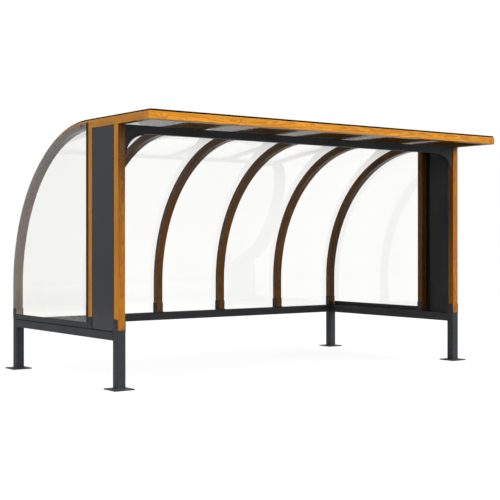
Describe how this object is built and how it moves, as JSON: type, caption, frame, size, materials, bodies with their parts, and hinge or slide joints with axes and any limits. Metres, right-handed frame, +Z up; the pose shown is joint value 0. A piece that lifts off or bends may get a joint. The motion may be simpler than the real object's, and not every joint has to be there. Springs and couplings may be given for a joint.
{
  "type": "bike shelter",
  "caption": "Open-fronted bike shelter: bent timber ribs on a dark steel base frame, clear curved sheets over back and roof, panelled side walls and a timber fascia.",
  "frame": {"origin": "middle of the bounding box on the ground under the base plates", "axes": "+X along the length to the right as seen from the open front, +Y to the closed back, +Z up"},
  "size_m": [4.19, 2.59, 2.304],
  "materials": {
    "powder_coated_steel": "satin anthracite powder coat on galvanised steel",
    "glued_timber": "glued laminated softwood with a honey-coloured glaze",
    "clear_sheet": "clear polycarbonate sheet, glossy on both faces",
    "dark_panel": "anthracite compact laminate board, fine matt texture",
    "dark_strip": "black-grey powder-coated aluminium strip"
  },
  "bodies": {
    "root": {"base_plate_front_left": "powder_coated_steel", "base_plate_front_right": "powder_coated_steel", "base_plate_back_left": "powder_coated_steel", "base_plate_back_right": "powder_coated_steel", "leg_front_left": "powder_coated_steel", "leg_front_right": "powder_coated_steel", "leg_back_left": "powder_coated_steel", "leg_back_right": "powder_coated_steel", "side_rail_left": "powder_coated_steel", "side_rail_right": "powder_coated_steel", "back_rail": "powder_coated_steel", "rib_shoes": "powder_coated_steel", "post_shoes": "powder_coated_steel", "front_beam": "powder_coated_steel", "gusset_left": "powder_coated_steel", "gusset_right": "powder_coated_steel", "rib_1": "glued_timber", "rib_2": "glued_timber", "rib_3": "glued_timber", "rib_4": "glued_timber", "rib_5": "glued_timber", "rib_6": "glued_timber", "front_post_left": "glued_timber", "front_post_right": "glued_timber", "rear_post_left": "glued_timber", "rear_post_right": "glued_timber", "fascia": "glued_timber", "cover_sheet_1": "clear_sheet", "cover_sheet_2": "clear_sheet", "cover_sheet_3": "clear_sheet", "cover_sheet_4": "clear_sheet", "cover_sheet_5": "clear_sheet", "side_pane_left": "clear_sheet", "side_pane_right": "clear_sheet", "side_panel_left": "dark_panel", "side_panel_right": "dark_panel", "pane_sill_left": "dark_strip", "pane_sill_right": "dark_strip", "pane_trim_left": "dark_strip", "pane_trim_right": "dark_strip", "end_cap_strip_left": "dark_strip", "end_cap_strip_right": "dark_strip", "inner_cap_strips": "dark_strip", "front_strip": "dark_strip"}
  },
  "joints": []
}
